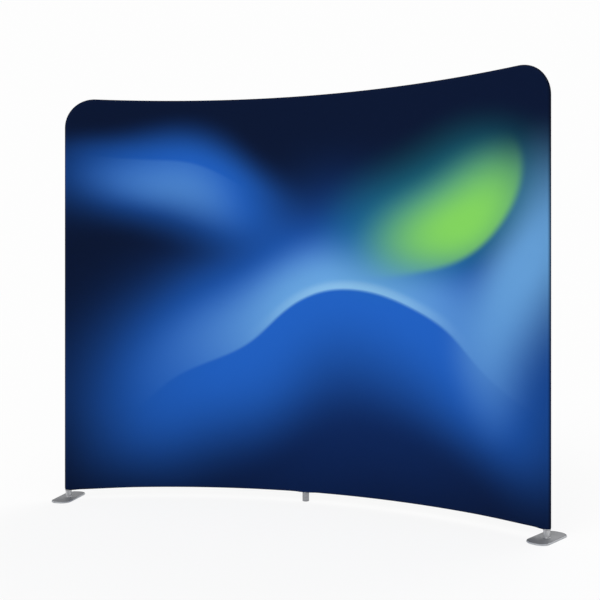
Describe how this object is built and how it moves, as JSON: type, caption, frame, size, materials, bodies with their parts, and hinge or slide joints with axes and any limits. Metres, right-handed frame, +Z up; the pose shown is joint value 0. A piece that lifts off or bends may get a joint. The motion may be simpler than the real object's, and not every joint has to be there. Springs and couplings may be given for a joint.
{
  "type": "curved tension fabric display wall",
  "caption": "Freestanding curved display wall: a zipped stretch-fabric cover over a tube frame, on two swivelling foot plates and a short centre leg.",
  "frame": {"origin": "on the floor under the centre leg, in the middle of the curve", "axes": "+X along the wall to the right seen from its hollow printed side, +Y to the back, away from the hollow side, +Z up"},
  "size_m": [2.7994, 0.5043, 2.3],
  "materials": {
    "tube_aluminium": "anodised, satin",
    "fitting_aluminium": "cast, bead blasted",
    "sleeve_steel": "zinc plated",
    "rivet_steel": "plain",
    "spring_steel": "bright",
    "plate_paint": "silver grey powder coat, satin",
    "post_metal": "satin",
    "leg_metal": "satin",
    "screw_steel": "zinc plated",
    "foot_rubber": "matt",
    "printed_fabric": "knit polyester, dye printed",
    "back_fabric": "knit polyester, plain",
    "zip_tape_cloth": "woven tape",
    "zip_chain_nylon": "moulded coil",
    "zip_metal": "nickel plated"
  },
  "bodies": {
    "frame": {"left_upright_lower": "tube_aluminium", "left_upright_upper": "tube_aluminium", "right_upright_lower": "tube_aluminium", "right_upright_upper": "tube_aluminium", "left_corner_bend": "tube_aluminium", "right_corner_bend": "tube_aluminium", "top_rail_left": "tube_aluminium", "top_rail_right": "tube_aluminium", "bottom_rail_left": "tube_aluminium", "bottom_rail_right": "tube_aluminium", "centre_post_lower": "tube_aluminium", "centre_post_upper": "tube_aluminium", "left_corner_tee": "fitting_aluminium", "right_corner_tee": "fitting_aluminium", "top_centre_tee": "fitting_aluminium", "bottom_centre_tee": "fitting_aluminium", "left_upright_sleeve": "sleeve_steel", "right_upright_sleeve": "sleeve_steel", "left_bend_sleeve": "sleeve_steel", "right_bend_sleeve": "sleeve_steel", "left_rail_sleeve": "sleeve_steel", "right_rail_sleeve": "sleeve_steel", "centre_post_sleeve": "sleeve_steel", "sleeve_rivets": "rivet_steel", "centre_leg": "leg_metal", "centre_leg_cap": "foot_rubber", "fabric_front": "printed_fabric", "fabric_back": "back_fabric", "zip_tape": "zip_tape_cloth", "zip_chain": "zip_chain_nylon"},
    "left_foot": {"left_foot_plate": "plate_paint", "left_foot_post": "post_metal", "left_foot_screw": "screw_steel", "left_foot_pads": "foot_rubber"},
    "right_foot": {"right_foot_plate": "plate_paint", "right_foot_post": "post_metal", "right_foot_screw": "screw_steel", "right_foot_pads": "foot_rubber"},
    "left_base_button": {"left_base_button": "spring_steel"},
    "left_upright_button": {"left_upright_button": "spring_steel"},
    "left_bend_button": {"left_bend_button": "spring_steel"},
    "left_rail_button": {"left_rail_button": "spring_steel"},
    "left_arm_button": {"left_arm_button": "spring_steel"},
    "left_top_tee_button": {"left_top_tee_button": "spring_steel"},
    "left_bottom_tee_button": {"left_bottom_tee_button": "spring_steel"},
    "right_base_button": {"right_base_button": "spring_steel"},
    "right_upright_button": {"right_upright_button": "spring_steel"},
    "right_bend_button": {"right_bend_button": "spring_steel"},
    "right_rail_button": {"right_rail_button": "spring_steel"},
    "right_arm_button": {"right_arm_button": "spring_steel"},
    "right_top_tee_button": {"right_top_tee_button": "spring_steel"},
    "right_bottom_tee_button": {"right_bottom_tee_button": "spring_steel"},
    "centre_post_button": {"centre_post_button": "spring_steel"},
    "zip_slider": {"zip_slider": "zip_metal"},
    "zip_pull": {"zip_pull": "zip_metal"}
  },
  "joints": [
    {"name": "left_foot_swivel", "type": "hinge", "parent": "frame", "child": "left_foot", "pos_m": [-1.32052, -0.35243, 0], "axis": [0, 0, 1], "continuous": true},
    {"name": "right_foot_swivel", "type": "hinge", "parent": "frame", "child": "right_foot", "pos_m": [1.32052, -0.35243, 0], "axis": [0, 0, 1], "continuous": true},
    {"name": "left_base_button_press", "type": "slide", "parent": "frame", "child": "left_base_button", "axis": [-0.8965, -0.4431, 0], "range_m": [0, 0.005], "stiffness_N_per_m": 3000, "springref_m": -0.002},
    {"name": "left_upright_button_press", "type": "slide", "parent": "frame", "child": "left_upright_button", "axis": [-0.8965, -0.4431, 0], "range_m": [0, 0.005], "stiffness_N_per_m": 3000, "springref_m": -0.002},
    {"name": "left_bend_button_press", "type": "slide", "parent": "frame", "child": "left_bend_button", "axis": [-0.8965, -0.4431, 0], "range_m": [0, 0.005], "stiffness_N_per_m": 3000, "springref_m": -0.002},
    {"name": "left_rail_button_press", "type": "slide", "parent": "frame", "child": "left_rail_button", "axis": [0, 0, 1], "range_m": [0, 0.005], "stiffness_N_per_m": 3000, "springref_m": -0.002},
    {"name": "left_arm_button_press", "type": "slide", "parent": "frame", "child": "left_arm_button", "axis": [0, 0, -1], "range_m": [0, 0.005], "stiffness_N_per_m": 3000, "springref_m": -0.002},
    {"name": "left_top_tee_button_press", "type": "slide", "parent": "frame", "child": "left_top_tee_button", "axis": [0, 0, 1], "range_m": [0, 0.005], "stiffness_N_per_m": 3000, "springref_m": -0.002},
    {"name": "left_bottom_tee_button_press", "type": "slide", "parent": "frame", "child": "left_bottom_tee_button", "axis": [0, 0, -1], "range_m": [0, 0.005], "stiffness_N_per_m": 3000, "springref_m": -0.002},
    {"name": "right_base_button_press", "type": "slide", "parent": "frame", "child": "right_base_button", "axis": [0.8965, -0.4431, 0], "range_m": [0, 0.005], "stiffness_N_per_m": 3000, "springref_m": -0.002},
    {"name": "right_upright_button_press", "type": "slide", "parent": "frame", "child": "right_upright_button", "axis": [0.8965, -0.4431, 0], "range_m": [0, 0.005], "stiffness_N_per_m": 3000, "springref_m": -0.002},
    {"name": "right_bend_button_press", "type": "slide", "parent": "frame", "child": "right_bend_button", "axis": [0.8965, -0.4431, 0], "range_m": [0, 0.005], "stiffness_N_per_m": 3000, "springref_m": -0.002},
    {"name": "right_rail_button_press", "type": "slide", "parent": "frame", "child": "right_rail_button", "axis": [0, 0, 1], "range_m": [0, 0.005], "stiffness_N_per_m": 3000, "springref_m": -0.002},
    {"name": "right_arm_button_press", "type": "slide", "parent": "frame", "child": "right_arm_button", "axis": [0, 0, -1], "range_m": [0, 0.005], "stiffness_N_per_m": 3000, "springref_m": -0.002},
    {"name": "right_top_tee_button_press", "type": "slide", "parent": "frame", "child": "right_top_tee_button", "axis": [0, 0, 1], "range_m": [0, 0.005], "stiffness_N_per_m": 3000, "springref_m": -0.002},
    {"name": "right_bottom_tee_button_press", "type": "slide", "parent": "frame", "child": "right_bottom_tee_button", "axis": [0, 0, -1], "range_m": [0, 0.005], "stiffness_N_per_m": 3000, "springref_m": -0.002},
    {"name": "centre_post_button_press", "type": "slide", "parent": "frame", "child": "centre_post_button", "axis": [-1, 0, 0], "range_m": [0, 0.005], "stiffness_N_per_m": 3000, "springref_m": -0.002},
    {"name": "zip_travel", "type": "hinge", "parent": "frame", "child": "zip_slider", "pos_m": [0, -2.6, 0.0873], "axis": [0, 0, 1], "range_deg": [0, 52.08]},
    {"name": "zip_pull_swing", "type": "hinge", "parent": "zip_slider", "child": "zip_pull", "pos_m": [1.15241, -0.24138, 0.0873], "axis": [0.8985, -0.439, 0], "range_deg": [0, 120]}
  ]
}
